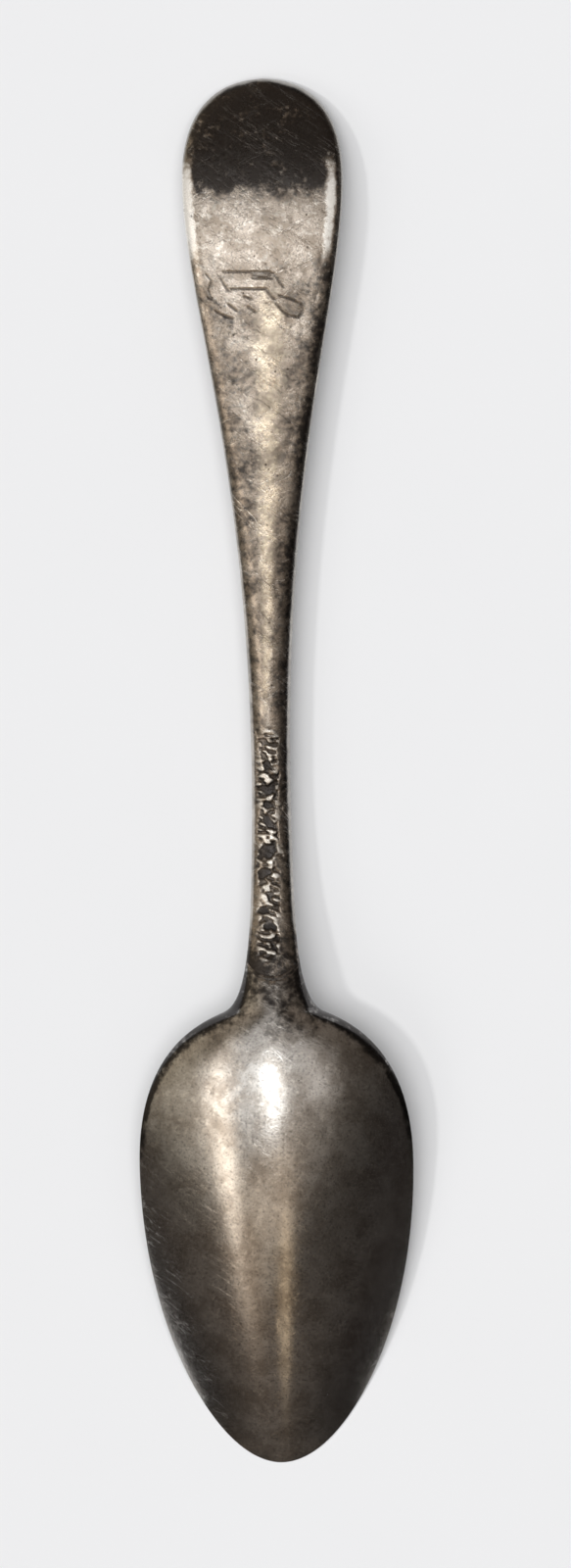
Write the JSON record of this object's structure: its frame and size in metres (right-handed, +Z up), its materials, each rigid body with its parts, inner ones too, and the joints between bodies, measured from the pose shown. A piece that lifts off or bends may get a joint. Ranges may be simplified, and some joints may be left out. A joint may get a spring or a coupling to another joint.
{
  "type": "souvenir spoon",
  "caption": "Plain silver teaspoon with a deep pointed bowl, a slim arched stem and a broad rounded end turned to the front, stored face down.",
  "frame": {"origin": "on the surface that the spoon lies on face down, under the middle of its length and its width", "axes": "+X across the spoon, +Y along it towards the end of the handle, +Z up out of its back"},
  "size_m": [0.0288, 0.146, 0.0091],
  "materials": {
    "smooth_silver": "satin",
    "scratched_silver": "satin",
    "silver_solder": "matte"
  },
  "bodies": {
    "root": {"bowl": "smooth_silver", "handle": "scratched_silver", "solder_seam": "silver_solder"}
  },
  "joints": []
}
